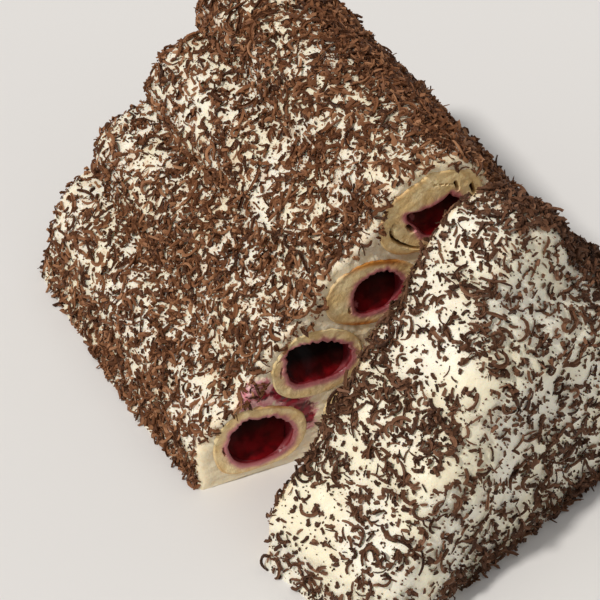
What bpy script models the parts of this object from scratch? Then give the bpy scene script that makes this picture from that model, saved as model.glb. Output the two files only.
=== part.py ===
"""Monastery hut cake: ten cherry-filled dough tubes stacked four, three, two and one, under sour
cream and shaved chocolate. It is cut across into a long back piece and an end piece that has been
turned away from it. Metres, +Z up, +Y along the back piece, origin under the middle of the cake."""

import math
import random

import bmesh
import bpy
import numpy as np
from mathutils import Matrix, Vector, noise

# The stack of tubes
ROWS = (4, 3, 2, 1)
PITCH = 0.0425  # from tube to tube along a row
LEFT_STEP = 0.0220  # by which each row starts further in than the row under it
ROW_RISE = 0.0288  # from row to row
TUBE_WIDE = 0.0362
TUBE_HIGH = 0.0334
TUBE_SEAT = 0.0024  # cream under the bottom row
TUBE_UNEVEN = 0.012  # share by which a tube strays from its oval
HOLLOW_WIDE = 0.0270
HOLLOW_HIGH = 0.0215
HOLLOW_ASTRAY = 0.0012
CLOSED_WALL = 0.0050  # dough at the closed end of a tube
FILLING_BACK = 0.0020  # how far the cherries lie behind the cut, at the bottom of a tube
FILLING_LEAN = 0.55  # and how much further for each metre up
FILLING_CROWN = 0.0020
CROWN_INSET = 0.38  # of the hollow's height
FIT = 0.0003  # gap between pieces that touch

# The cream
COVER = 0.0038  # over the outer side of the tubes
SOFTNESS = 0.0016  # how gently the furrows between two rows and the tubes run together
BACK_END_COVER, FRONT_END_COVER = 0.0060, 0.0140
END_LOBE = 0.0028  # how far each tube's end swells through the cream
LOBE_SPREAD = 0.26  # of a tube's width
CREAM_WAVE = 0.0013
WAVE_LENGTH = 0.030
CORE_LEVEL = 0.36  # of the height: the section's outline is measured out from this point
FOOT_HIGH = 0.024  # up to where the cream and chocolate heap outwards at the foot

# The two pieces: the length of each row from the middle of the cut, the rounding of the closed
# end, the depth of the furrows and how far the foot spreads, both at the cut and far from it
BACK_ROWS = (0.1485, 0.1520, 0.1460, 0.1425)
FRONT_ROWS = (0.0490, 0.0490, 0.0440, 0.0300)
BACK_EDGE, FRONT_EDGE = 0.0090, 0.0140
BACK_FURROW, FRONT_FURROW = (0.0034, 0.0086), (0.0016, 0.0024)
BACK_SPREAD, FRONT_SPREAD = (0.0020, 0.0065), (0.0040, 0.0045)
CUT_SLANT = math.radians(5.3)
FRONT_TURN = math.radians(16.2)
FRONT_MOVE = Vector((0.0048, -0.0138, 0.0))
FRONT_SLUMP = 0.97  # the end piece has settled to this share of its height
PIECE_GAP = 0.0005

# The largest chocolate shavings, which are part of the cream's solid
SHAVING_LONG = (0.010, 0.017)
SHAVING_WIDE = (0.0020, 0.0030)
SHAVING_THICK = 0.0022
SHAVING_SINK = 0.0006
SHAVING_BEND = (0.5, 2.2)  # radians from end to end
SHAVING_SPACING = 0.0145
SHAVING_OFF_GROUND = 0.009
SHAVING_OFF_CUT = 0.011
OVERHANG = -0.3  # the steepest overhang, as the normal's height, that a shaving lies on
SHAVINGS = {"back": 78, "front": 34}
DRAWS = 6000
SEED = 11

# How finely the shapes are faceted
OUTLINE_SAMPLES = 900
OUTLINE_POINTS = 48
UNDERSIDE_POINTS = 7
STATIONS = {"back": 11, "front": 5}
EDGE_RINGS = 3
END_RINGS = (0.84, 0.66, 0.46, 0.24)
TUBE_POINTS = 16
WELD = 2e-6  # points nearer than this are one

TUBE_BOTTOM = TUBE_SEAT + TUBE_HIGH / 2
HEIGHT = TUBE_BOTTOM + (len(ROWS) - 1) * ROW_RISE + TUBE_HIGH / 2 + COVER
RIGHT_STEP = PITCH - LEFT_STEP
LEFT_BASE = (ROWS[0] - 1) * LEFT_STEP + TUBE_WIDE / 2 + COVER
RIGHT_BASE = (ROWS[0] - 1) * RIGHT_STEP + TUBE_WIDE / 2 + COVER
CORE = np.array((0.0, CORE_LEVEL * HEIGHT))

# Hollows that the cut shows, by row: wide, high, and moved across and up from the tube's middle
SHOWN_HOLLOWS = {
    1: (0.0280, 0.0244, -0.0004, -0.0008),
    2: (0.0276, 0.0216, 0.0006, 0.0006),
    3: (0.0222, 0.0186, 0.0016, -0.0020),
    4: (0.0232, 0.0146, 0.0010, -0.0036),
}


def clear_scene():
    for thing in list(bpy.data.objects):
        bpy.data.objects.remove(thing, do_unlink=True)


def material(name, colour, roughness):
    """A dielectric finish of one colour."""
    made = bpy.data.materials.new(name)
    made.use_nodes = True
    shader = made.node_tree.nodes["Principled BSDF"]
    shader.inputs["Base Color"].default_value = (*colour, 1)
    shader.inputs["Roughness"].default_value = roughness
    shader.inputs["Metallic"].default_value = 0
    made.diffuse_color = (*colour, 1)
    return made


def loft(rings):
    """A closed solid through rings of equal length, capped by a face at both ends."""
    bm = bmesh.new()
    loops = [[bm.verts.new(point) for point in ring] for ring in rings]
    for near, far in zip(loops, loops[1:]):
        for here, there in zip(range(len(near)), [*range(1, len(near)), 0]):
            bm.faces.new((near[here], near[there], far[there], far[here]))
    bm.faces.new(loops[0])
    bm.faces.new(reversed(loops[-1]))
    bmesh.ops.recalc_face_normals(bm, faces=bm.faces)
    return bm


def add_object(name, bm, finish=None, collection=None):
    """Turns a bmesh into a named object, in the scene or in a collection of cutters."""
    mesh = bpy.data.meshes.new(name)
    bm.to_mesh(mesh)
    bm.free()
    made = bpy.data.objects.new(name, mesh)
    (collection or bpy.context.scene.collection).objects.link(made)
    if finish:
        mesh.materials.append(finish)
    return made


# ---------------------------------------------------------------- the section across the cake


def tube_places():
    """Row, place in the row, and the middle of each tube across and up."""
    for row, count in enumerate(ROWS):
        for place in range(count):
            across = place * PITCH - (count - 1) * LEFT_STEP
            yield row + 1, place + 1, across, TUBE_BOTTOM + row * ROW_RISE


def oval_reach(direction, across, up):
    """Distance from the core to the far side of the cream round one tube, or 0 past it."""
    radii = np.array((TUBE_WIDE / 2 + COVER, TUBE_HIGH / 2 + COVER))
    start = (CORE - (across, up)) / radii
    step = direction / radii
    a, b, c = step @ step, start @ step, start @ start - 1
    inside = b * b - a * c
    return (math.sqrt(inside) - b) / a if inside > 0 else 0.0


def side_reach(direction, furrow):
    """Distance from the core to the flat sides that lie at the depth of the furrows."""
    step, base = (LEFT_STEP, LEFT_BASE) if direction[0] < 0 else (RIGHT_STEP, RIGHT_BASE)
    slope = math.atan2(ROW_RISE, step)
    out = np.array((math.sin(slope), math.cos(slope)))
    radii = np.array((TUBE_WIDE / 2 + COVER, TUBE_HIGH / 2 + COVER))
    top_tube = np.array((0.0, TUBE_BOTTOM + (len(ROWS) - 1) * ROW_RISE))
    side = out @ top_tube + np.linalg.norm(out * radii) - furrow
    walls = [
        (np.array((abs(direction[0]), direction[1])) @ out, side - out @ CORE),
        (abs(direction[0]), base),
        (direction[1], HEIGHT - furrow - CORE[1]),
    ]
    return min(room / rate for rate, room in walls if rate > 1e-6)


def cream_outline(furrow):
    """Even points over the cream from the left foot to the right foot, and back underneath."""
    left_foot, right_foot = (math.atan2(-CORE[1], base) for base in (LEFT_BASE, RIGHT_BASE))
    points = []
    for angle in np.linspace(math.pi - left_foot, right_foot, OUTLINE_SAMPLES):
        direction = np.array((math.cos(angle), math.sin(angle)))
        reaches = [oval_reach(direction, *middle) for _, _, *middle in tube_places()]
        reaches = np.array([*reaches, side_reach(direction, furrow)])
        reach = SOFTNESS * math.log(np.exp((reaches - reaches.max()) / SOFTNESS).sum()) + reaches.max()
        point = CORE + reach * direction
        points.append((point[0], max(0.0, point[1])))
    points = np.array(points)
    points[[0, -1], 1] = 0.0
    run = np.concatenate([[0], np.cumsum(np.linalg.norm(np.diff(points, axis=0), axis=1))])
    even = np.linspace(0, run[-1], OUTLINE_POINTS)
    over = np.stack([np.interp(even, run, points[:, axis]) for axis in (0, 1)], axis=1)
    under = np.linspace(over[-1], over[0], UNDERSIDE_POINTS + 2)[1:-1]
    return np.concatenate([over, under])


# ---------------------------------------------------------------- where each piece starts and ends


def back_cut(across):
    return -math.tan(CUT_SLANT) * across


def front_cut(across):
    """The end piece's own cut, or the back piece's cut where the two still touch at the far foot."""
    slope, sine, cosine = math.tan(CUT_SLANT), math.sin(FRONT_TURN), math.cos(FRONT_TURN)
    gap = PIECE_GAP / math.cos(CUT_SLANT)
    room = -gap - FRONT_MOVE.y - slope * FRONT_MOVE.x - (sine + slope * cosine) * across
    return min(back_cut(across), room / (cosine - slope * sine))


PIECES = {
    "back": {
        "cut": back_cut,
        "rows": BACK_ROWS,
        "end cover": BACK_END_COVER,
        "way": 1,
        "edge": BACK_EDGE,
        "furrow": BACK_FURROW,
        "spread": BACK_SPREAD,
        "place": Matrix(),
    },
    "front": {
        "cut": front_cut,
        "rows": FRONT_ROWS,
        "end cover": FRONT_END_COVER,
        "way": -1,
        "edge": FRONT_EDGE,
        "furrow": FRONT_FURROW,
        "spread": FRONT_SPREAD,
        "place": Matrix.Translation(FRONT_MOVE)
        @ Matrix.Rotation(FRONT_TURN, 4, "Z")
        @ Matrix.Scale(FRONT_SLUMP, 4, (0, 0, 1)),
    },
}


def closed_end(piece, up):
    """How far along a piece's closed end lies, level over each row and stepped between rows."""
    level = min(max((up - TUBE_BOTTOM) / ROW_RISE, 0.0), len(ROWS) - 1.0)
    row = min(int(level), len(ROWS) - 2)
    part = level - row
    step = part * part * (3 - 2 * part)
    return piece["way"] * (piece["rows"][row] * (1 - step) + piece["rows"][row + 1] * step)


# ---------------------------------------------------------------- cream


def waved(point, across, up):
    """A point moved out from the core by the spoon marks in the cream."""
    out = Vector((across - CORE[0], 0, up - CORE[1])).normalized()
    wave = CREAM_WAVE * noise.noise(Vector(point) / WAVE_LENGTH)
    moved = Vector(point) + out * wave
    moved.z = max(0.0, moved.z) if up > 0 else 0.0
    return moved


def spread_foot(piece, across, up, along):
    """A point of the section moved outwards where cream and chocolate heap at the foot."""
    at_cut, beyond = piece["spread"]
    share = min(1.0, abs(along) / (2 * FOOT_HIGH))
    heap = max(0.0, 1 - up / FOOT_HIGH) ** 2
    return across + math.copysign(heap * (at_cut + (beyond - at_cut) * share), across)


def cream_rings(piece, stations):
    """Rings of points from the cut to the middle of the closed end."""
    at_cut, outline = (cream_outline(furrow) for furrow in piece["furrow"])
    way, edge = piece["way"], piece["edge"]
    rings = []
    for share in np.linspace(0, 1, stations):
        ring = []
        for across, up in at_cut + (outline - at_cut) * share:
            wide = spread_foot(piece, across, up, share * piece["rows"][0])
            start, stop = back_cut(wide), closed_end(piece, up) - way * edge
            ring.append(waved((wide, start + share * (stop - start), up), across, up))
        rings.append(ring)
    for turn in np.linspace(0, math.pi / 2, EDGE_RINGS + 1)[1:]:
        rings.append([edge_point(piece, across, up, turn) for across, up in outline])
    for share in END_RINGS:
        rings.append([end_point(piece, across, up, share) for across, up in outline])
    return rings


def edge_point(piece, across, up, turn):
    """A point on the rounding between the sides and the closed end."""
    inset = piece["edge"] * (1 - math.cos(turn))
    wide = spread_foot(piece, across, up, piece["rows"][0])
    across_in, up_in = CORE + (np.array((wide, up)) - CORE) * (1 - inset / math.dist((wide, up), CORE))
    up_in = up_in if up > 0 else 0.0
    back = piece["edge"] * (1 - math.sin(turn))
    return waved((across_in, closed_end(piece, up_in) - piece["way"] * back, up_in), across, up)


def end_point(piece, across, up, share):
    """A point on the closed end, which swells over each tube."""
    rim = edge_point(piece, across, up, math.pi / 2)
    across_in = CORE[0] + (rim.x - CORE[0]) * share
    up_in = CORE[1] + (rim.z - CORE[1]) * share
    spread = TUBE_WIDE * LOBE_SPREAD
    swell = sum(
        math.exp(-(((across_in - tube_across) ** 2 + (up_in - tube_up) ** 2) / (2 * spread**2)))
        for _, _, tube_across, tube_up in tube_places()
    )
    along = closed_end(piece, up_in) + piece["way"] * END_LOBE * swell
    return Vector((across_in, along, up_in))


def cut_by_collection(target, cutters, operation):
    """Applies one Boolean with all of a collection's objects, then removes them."""
    boolean = target.modifiers.new(operation, "BOOLEAN")
    boolean.operation = operation
    boolean.operand_type = "COLLECTION"
    boolean.collection = cutters
    boolean.solver = "EXACT"
    graph = bpy.context.evaluated_depsgraph_get()
    result = bpy.data.meshes.new_from_object(target.evaluated_get(graph))
    target.modifiers.clear()
    target.data = result
    for cutter in list(cutters.objects):
        bpy.data.objects.remove(cutter, do_unlink=True)
    bpy.data.collections.remove(cutters)


def keep_largest(target):
    """Drops loose scraps and fills sealed hollows, which are separate shells of the mesh."""
    bm = bmesh.new()
    bm.from_mesh(target.data)
    bmesh.ops.remove_doubles(bm, verts=bm.verts, dist=WELD)
    bmesh.ops.dissolve_degenerate(bm, edges=bm.edges, dist=WELD)
    shells, seen = [], set()
    for first in bm.verts:
        if first in seen:
            continue
        shell, edge_of_shell = {first}, [first]
        while edge_of_shell:
            linked = {edge.other_vert(vert) for vert in edge_of_shell for edge in vert.link_edges}
            edge_of_shell = list(linked - shell)
            shell |= linked
        seen |= shell
        shells.append(shell)
    largest = max(shells, key=len)
    loose = [vert for shell in shells if shell is not largest for vert in shell]
    bmesh.ops.delete(bm, geom=loose, context="VERTS")
    bmesh.ops.triangulate(bm, faces=bm.faces)
    bm.to_mesh(target.data)
    bm.free()


def new_collection(name):
    made = bpy.data.collections.new(name)
    bpy.context.scene.collection.children.link(made)
    return made


def cream_body(name, finish):
    """The cream of one piece, hollowed for its tubes, with the largest shavings on it."""
    piece = PIECES[name]
    bm = loft(cream_rings(piece, STATIONS[name]))
    if name == "front":
        trim_to_back_piece(bm)
    body = add_object(f"cream_{name}", bm, finish)
    cutters = new_collection(f"hollows_{name}")
    for row, place, across, up in tube_places():
        shape = tube_shape(name, row, place, across, up)
        rings = [tube_ring(piece, shape, FIT, end) for end in ("past cut", "closed")]
        add_object(f"hollow_{row}_{place}", loft(rings), collection=cutters)
    spots = shaving_spots(body.data, name)
    cut_by_collection(body, cutters, "DIFFERENCE")
    shavings = new_collection(f"shavings_{name}")
    for number, spot in enumerate(spots):
        add_object(f"shaving_{number}", shaving(*spot), collection=shavings)
    cut_by_collection(body, shavings, "UNION")
    keep_largest(body)
    return body


def trim_to_back_piece(bm):
    """Takes off what would reach into the back piece at the foot where the two still touch."""
    turned = math.pi / 2 - CUT_SLANT - FRONT_TURN
    normal = Vector((math.cos(turned), math.sin(turned), 0))
    on_plane = Vector((RIGHT_BASE, front_cut(RIGHT_BASE), 0))
    geometry = [*bm.verts, *bm.edges, *bm.faces]
    cut = bmesh.ops.bisect_plane(
        bm, geom=geometry, plane_co=on_plane, plane_no=normal, clear_outer=True, dist=1e-7
    )
    edges = [item for item in cut["geom_cut"] if isinstance(item, bmesh.types.BMEdge)]
    bmesh.ops.holes_fill(bm, edges=edges)
    bmesh.ops.recalc_face_normals(bm, faces=bm.faces)


# ---------------------------------------------------------------- dough tubes and their filling


def tube_shape(name, row, place, across, up):
    """One tube's size, its small unevenness, and the hollow in it."""
    draw = random.Random(f"{SEED} {name} {row} {place}")
    astray = [draw.uniform(-HOLLOW_ASTRAY, HOLLOW_ASTRAY) for _ in range(2)]
    hollow = SHOWN_HOLLOWS[row] if place == 1 else (HOLLOW_WIDE, HOLLOW_HIGH, *astray)
    return {
        "middle": (across, up),
        "closed": PIECES[name]["way"] * (PIECES[name]["rows"][row - 1] - PIECES[name]["end cover"]),
        "waves": [(count, draw.uniform(0, math.tau)) for count in (2, 3, 5)],
        "hollow": hollow,
    }


def tube_ring(piece, shape, grow, end):
    """The outer outline of a tube at the cut, beyond it, or at its closed end."""
    ring = []
    for angle in np.linspace(0, math.tau, TUBE_POINTS, endpoint=False):
        stray = 1 + TUBE_UNEVEN / 2 * sum(math.sin(n * angle + start) for n, start in shape["waves"])
        across = shape["middle"][0] + (TUBE_WIDE / 2 * stray + grow) * math.cos(angle)
        up = shape["middle"][1] + (TUBE_HIGH / 2 * stray + grow) * math.sin(angle)
        along = {
            "cut": piece["cut"](across),
            "past cut": back_cut(across) - piece["way"] * TUBE_WIDE / 2,
            "closed": shape["closed"] + piece["way"] * grow,
        }
        ring.append(Vector((across, along[end], up)))
    return ring


def hollow_ring(piece, shape, grow, behind_cut=None, short_of_end=None):
    """An outline of the hollow in a tube, at a depth behind the cut or short of the tube's end."""
    wide, high, move_across, move_up = shape["hollow"]
    ring = []
    for angle in np.linspace(0, math.tau, TUBE_POINTS, endpoint=False):
        stray = 1 + TUBE_UNEVEN * 2 * sum(math.sin(n * angle + start) for n, start in shape["waves"])
        across = shape["middle"][0] + move_across + (wide / 2 * stray + grow) * math.cos(angle)
        up = shape["middle"][1] + move_up + (high / 2 * stray + grow) * math.sin(angle)
        if short_of_end is not None:
            along = shape["closed"] - piece["way"] * short_of_end
        else:
            along = piece["cut"](across) + piece["way"] * behind_cut(up)
        ring.append(Vector((across, along, up)))
    return ring


def level(up):
    return 0.0


def dough_tube(name, row, place, across, up, finish):
    """A tube of baked dough, open at the cut and closed at its other end."""
    piece = PIECES[name]
    shape = tube_shape(name, row, place, across, up)
    rings = [
        hollow_ring(piece, shape, 0, short_of_end=CLOSED_WALL),
        hollow_ring(piece, shape, 0, behind_cut=level),
        tube_ring(piece, shape, 0, "cut"),
        tube_ring(piece, shape, 0, "closed"),
    ]
    return add_object(f"dough_{name}_row{row}_{place}", loft(rings), finish)


def filling(name, row, place, across, up, finish):
    """Baked cherries in their jelly, which fill a tube and slump back from the cut."""
    piece = PIECES[name]
    shape = tube_shape(name, row, place, across, up)
    _, high, _, move_up = shape["hollow"]
    bottom = up + move_up - high / 2

    def slumped(height):
        return FILLING_BACK + FILLING_LEAN * (height - bottom)

    def crowned(height):
        return slumped(height) - FILLING_CROWN

    rim = hollow_ring(piece, shape, -FIT, behind_cut=slumped)
    crown = hollow_ring(piece, shape, -CROWN_INSET * high, behind_cut=crowned)
    far = hollow_ring(piece, shape, -FIT, short_of_end=CLOSED_WALL + FIT)
    return add_object(f"cherries_{name}_row{row}_{place}", loft([crown, rim, far]), finish)


# ---------------------------------------------------------------- chocolate shavings


def shaving_spots(mesh, name):
    """Well-spread places on the cream's sides and closed end, each with a size and a turn."""
    draw = random.Random(f"{SEED} shavings {name}")
    piece = PIECES[name]
    faces = [face for face in mesh.polygons if allowed(piece, face)]
    areas = [face.area for face in faces]
    spots = []
    for face in draw.choices(faces, weights=areas, k=DRAWS):
        corners = [mesh.vertices[index].co for index in face.vertices]
        weights = [draw.random() for _ in corners]
        point = sum((corner * weight for corner, weight in zip(corners, weights)), Vector())
        point /= sum(weights)
        if all((point - other[0]).length > SHAVING_SPACING for other in spots):
            size = (draw.uniform(*SHAVING_LONG), draw.uniform(*SHAVING_WIDE))
            turn, bend = draw.uniform(0, math.tau), draw.uniform(*SHAVING_BEND)
            spots.append((point, face.normal.copy(), turn, size, bend))
        if len(spots) == SHAVINGS[name]:
            break
    return spots


def allowed(piece, face):
    """Whether a face lies on the outside, clear of the cut, the underside and its edge."""
    from_cut = piece["way"] * (face.center.y - piece["cut"](face.center.x))
    outside = face.normal.z > OVERHANG
    return outside and face.center.z > SHAVING_OFF_GROUND and from_cut > SHAVING_OFF_CUT


def shaving(point, normal, turn, size, bend):
    """A bent sliver of chocolate that lies on the cream and is sunk into it a little."""
    long, wide = size
    rings = []
    for share, thick in ((-0.5, 0), (-0.2, 1), (0.2, 1), (0.5, 0)):
        angle = share * bend
        middle = Vector((math.sin(angle), 1 - math.cos(angle), 0)) * long / bend
        middle.z = SHAVING_THICK / 2 - SHAVING_SINK
        out = Vector((-math.sin(angle), math.cos(angle), 0)) * wide / 2 * thick
        lift = Vector((0, 0, SHAVING_THICK / 2 * thick))
        rings.append([middle - out - lift, middle + out - lift, middle + out + lift, middle - out + lift])
    bm = loft(rings)
    bmesh.ops.remove_doubles(bm, verts=bm.verts, dist=1e-6)
    frame = normal.to_track_quat("Z", "Y").to_matrix().to_4x4()
    place = Matrix.Translation(point) @ frame @ Matrix.Rotation(turn, 4, "Z")
    bmesh.ops.transform(bm, matrix=place, verts=bm.verts)
    return bm


# ---------------------------------------------------------------- the whole cake


def build():
    clear_scene()
    cream = material("sour cream", (0.86, 0.83, 0.74), 0.45)
    dough = material("baked dough", (0.72, 0.53, 0.28), 0.65)
    cherry = material("cherry filling", (0.20, 0.008, 0.012), 0.18)
    made = []
    for name, piece in PIECES.items():
        nodes = [cream_body(name, cream)]
        for tube in tube_places():
            nodes.append(dough_tube(name, *tube, dough))
            nodes.append(filling(name, *tube, cherry))
        for node in nodes:
            node.data.transform(piece["place"])
        made += nodes
    centre(made)
    for node in made:
        node.data.shade_smooth()
        node.data.set_sharp_from_angle(angle=math.radians(40))


def centre(nodes):
    """Moves the cake so that the middle of its box lies over the origin."""
    points = np.array([vert.co for node in nodes for vert in node.data.vertices])
    low, high = points.min(axis=0), points.max(axis=0)
    middle = (low + high) / 2
    for node in nodes:
        node.data.transform(Matrix.Translation((-middle[0], -middle[1], -low[2])))


build()
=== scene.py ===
"""Monastery hut cake: ten baked tubes of dough with cherries in them, stacked and covered with sour
cream and shaved chocolate, cut across into a long piece and an end piece turned away from it."""

import math
import random

import bmesh
import bpy
import numpy as np
from mathutils import Matrix, Vector, kdtree, noise


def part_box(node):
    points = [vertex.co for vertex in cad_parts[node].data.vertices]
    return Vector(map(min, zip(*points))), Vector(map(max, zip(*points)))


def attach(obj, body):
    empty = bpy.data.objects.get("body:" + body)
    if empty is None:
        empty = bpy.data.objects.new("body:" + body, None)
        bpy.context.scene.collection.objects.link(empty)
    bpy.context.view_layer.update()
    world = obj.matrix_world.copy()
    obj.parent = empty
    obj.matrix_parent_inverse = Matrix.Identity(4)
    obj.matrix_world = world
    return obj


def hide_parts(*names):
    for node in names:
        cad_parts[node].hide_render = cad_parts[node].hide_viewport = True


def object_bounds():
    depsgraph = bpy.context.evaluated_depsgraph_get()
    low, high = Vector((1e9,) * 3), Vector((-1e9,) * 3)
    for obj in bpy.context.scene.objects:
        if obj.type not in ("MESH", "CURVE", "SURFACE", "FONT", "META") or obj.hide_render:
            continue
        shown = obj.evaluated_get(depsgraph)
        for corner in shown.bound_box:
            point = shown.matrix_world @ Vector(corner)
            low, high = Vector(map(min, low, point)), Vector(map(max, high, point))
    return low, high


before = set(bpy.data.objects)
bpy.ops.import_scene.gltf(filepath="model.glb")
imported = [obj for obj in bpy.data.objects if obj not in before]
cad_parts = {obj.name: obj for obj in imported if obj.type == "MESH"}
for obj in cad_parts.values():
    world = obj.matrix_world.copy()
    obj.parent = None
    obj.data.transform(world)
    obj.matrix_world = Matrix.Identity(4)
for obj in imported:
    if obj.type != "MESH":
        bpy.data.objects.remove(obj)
solid_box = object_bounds()

# ------------------------------------------------------------------------------ dough tubes
# Strips of soft dough are folded round cherries, pinched shut and baked pale. They are stacked
# four, three, two and one. The cut shows four of them from the side: each has a thin browned skin,
# a pale crumb and a hollow whose rim the cherries have stained.

ROWS = (4, 3, 2, 1)
PITCH, LEFT_STEP, ROW_RISE = 0.0425, 0.0220, 0.0288
TUBE_WIDE, TUBE_HIGH, TUBE_SEAT = 0.0362, 0.0334, 0.0024
HOLLOW_WIDE, HOLLOW_HIGH, HOLLOW_ASTRAY = 0.0270, 0.0215, 0.0012
TUBE_UNEVEN, CLOSED_WALL = 0.012, 0.0050
CUT_SLANT, FRONT_TURN = math.radians(5.3), math.radians(16.2)
FRONT_MOVE, FRONT_SLUMP, PIECE_GAP = Vector((0.0048, -0.0138, 0.0)), 0.97, 0.0005
TUBE_BOTTOM = TUBE_SEAT + TUBE_HIGH / 2
SHOWN_FINE, HIDDEN_FINE = (264, 20), (96, 7)  # points round a tube, and rings over its cut face
SEED, ROW_SEED, PLACE_SEED = 11, 7.3, 2.1
MM = 0.001

# The four tubes at the near side of the back piece's cut, in millimetres from the tube's middle:
# outline of the dough, outline of its hollow, and the hollow's middle
SHOWN = {
    1: {
        "dough": [
            (18.1, 0), (16.6, 6), (12.4, 10.5), (6.7, 13.6), (0, 15.4), (-5.3, 16), (-10, 14.8),
            (-14, 11.8), (-17, 7), (-18.2, 0.5), (-17.4, -7), (-14.6, -13), (-9, -15.9), (0, -16.2),
            (8.5, -15.4), (13.2, -13), (16.3, -9), (17.8, -4.5),
        ],
        "hollow": [
            (12.8, -1.2), (10.8, 3.4), (7.6, 6.6), (3.8, 8.6), (-1.5, 10), (-5.8, 10.5), (-8.8, 8.7),
            (-11, 5.4), (-12.2, 0.8), (-11.4, -5), (-9, -9.2), (-5.6, -11.6), (-0.9, -12.4),
            (4.6, -12), (8.6, -10.6), (11.6, -7.4),
        ],
        "middle": (-0.4, -0.8),
    },
    2: {
        "dough": [
            (17.6, -1), (16.8, 5), (13.2, 10.7), (7.7, 14.6), (0, 16.4), (-8, 15.4), (-13.2, 11),
            (-16.4, 5.5), (-17, -1), (-15.4, -8), (-11.5, -12.6), (-6.6, -14.8), (0, -15.6),
            (8, -14.5), (13, -11), (16.4, -6.4),
        ],
        "hollow": [
            (13.8, -0.4), (13, 2.8), (10.5, 5.8), (6.3, 8.4), (1.6, 10), (-4.7, 11.4), (-8.4, 11),
            (-10.6, 9.2), (-11.1, 5.2), (-11.1, 0.8), (-10.1, -3.8), (-8.1, -6.8), (-5, -8.3),
            (-1.6, -8.3), (4, -8.6), (8.2, -8.2), (11.4, -6.4), (13.4, -3.4),
        ],
        "middle": (0.6, 0.6),
    },
    3: {
        "dough": [
            (18, -4), (17.2, 1.5), (14, 6.5), (9.1, 9.9), (3.6, 12.2), (-1, 13.1), (-5, 13.1),
            (-9.4, 11.8), (-14, 9), (-17.4, 4.6), (-18.6, -0.8), (-18, -6), (-15.4, -10.6),
            (-11, -13.6), (-6.6, -15.6), (0, -16.8), (8, -15.4), (14.6, -10.8),
        ],
        "hollow": [
            (11.4, -3.6), (10, 0.8), (7.7, 4.2), (4.9, 6.3), (0.8, 6.9), (-2.4, 6), (-5.6, 3.9),
            (-7.3, 0.5), (-7.6, -4.6), (-6.6, -8.6), (-4, -10.8), (0, -11.1), (5, -10.4), (9, -8),
        ],
        "middle": (1.6, -2.0),
    },
    4: {
        "dough": [
            (18, 3.6), (16.6, 9), (13.4, 12.9), (8.6, 15.3), (3, 16.4), (-2.3, 16.3), (-7, 14.4),
            (-11.4, 12), (-15.6, 9.6), (-18.8, 5.4), (-20.6, 0), (-20.8, -5.4), (-19, -10.8),
            (-15.6, -14.8), (-11, -17), (-5, -17.4), (3, -16.6), (10, -13.6), (15, -8.6), (17.6, -2.4),
        ],
        "hollow": [
            (12.6, -1), (10, 1.7), (7.6, 2.7), (6.1, 4.6), (5.2, 5.6), (4, 4.4), (2.2, 2.8),
            (-1.9, 1.6), (-6, 1.3), (-9.4, 1.5), (-10.4, 0.2), (-9.4, -2.4), (-7.4, -4.6),
            (-5.6, -7.4), (-3.4, -10.4), (0, -11.6), (5, -10.6), (10, -8), (12.6, -4.6),
        ],
        "middle": (1.0, -3.0),
    },
}
# Where folds of the dough don't quite meet: row, width, and the line of the gap
GAPS = [
    (4, 1.0, [(-15.2, -1.6), (-16.2, -3.8), (-16.0, -6.6), (-14.9, -8.8), (-13.2, -10.6), (-11.6, -12.1),
              (-10.0, -13.3), (-8.0, -14.5), (-5.4, -15.3)]),
    (4, 1.5, [(-9.9, -4.0), (-8.8, -5.7), (-7.9, -6.7)]),
    (4, 0.35, [(-1.0, 11.6), (1.7, 11.2), (4.5, 10.4), (6.8, 9.7)]),
    (4, 1.0, [(7.2, 10.2), (7.8, 8.6), (8.2, 6.8)]),
    (4, 1.3, [(13.4, 7.0), (14.2, 5.0), (14.8, 3.0)]),
    (2, 0.5, [(-13.2, 3.2), (-13.6, 1.0), (-13.4, -1.4)]),
    (2, 0.4, [(-15.8, 5.6), (-15.0, 6.6), (-13.6, 7.2)]),
    (1, 0.5, [(-14.3, 0.3), (-14.4, -1.6), (-13.8, -3.5)]),
    (3, 0.5, [(-9.6, -5.2), (-9.8, -6.8), (-9.2, -8.2)]),
]
GAP_DEEP, GAP_FLOOR, GAP_SIDES = 0.0030, 1.35, 0.9
# How brown the skin is round each shown tube: row, angle, spread of the angle, and strength
BROWNED = {1: [(225, 50, 0.35), (60, 40, 0.5)], 2: [(90, 60, 0.1)], 3: [(84, 54, 1.0), (250, 34, 0.9)],
           4: [(150, 60, 0.35), (235, 30, 0.45)]}
HIDDEN_BROWNED = [(90, 70, 0.3)]
SKIN_TAN = {1: 0.08, 2: 0.1, 3: 0.3, 4: 0.2}
CRUST_THICK = {1: 0.0011, 2: 0.0010, 3: 0.0019, 4: 0.0016}
SIDE_BROWN, SIDE_RINGS = 0.4, (0.003, 0.008)
# Juice in the cut face: strength, reach and falloff of the dark rim and of the faint one round it
STAINS = ((0.54, 1, 1.4), (0.11, 2.6, 2))
STAIN_SPREAD, STAIN_UNEVEN, STAIN_PATCH = 0.0013, 0.6, 0.004
RIM_STAIN, LIP_STAIN_LOSS, STAIN_DEEP = 0.74, 0.35, 0.005
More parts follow.
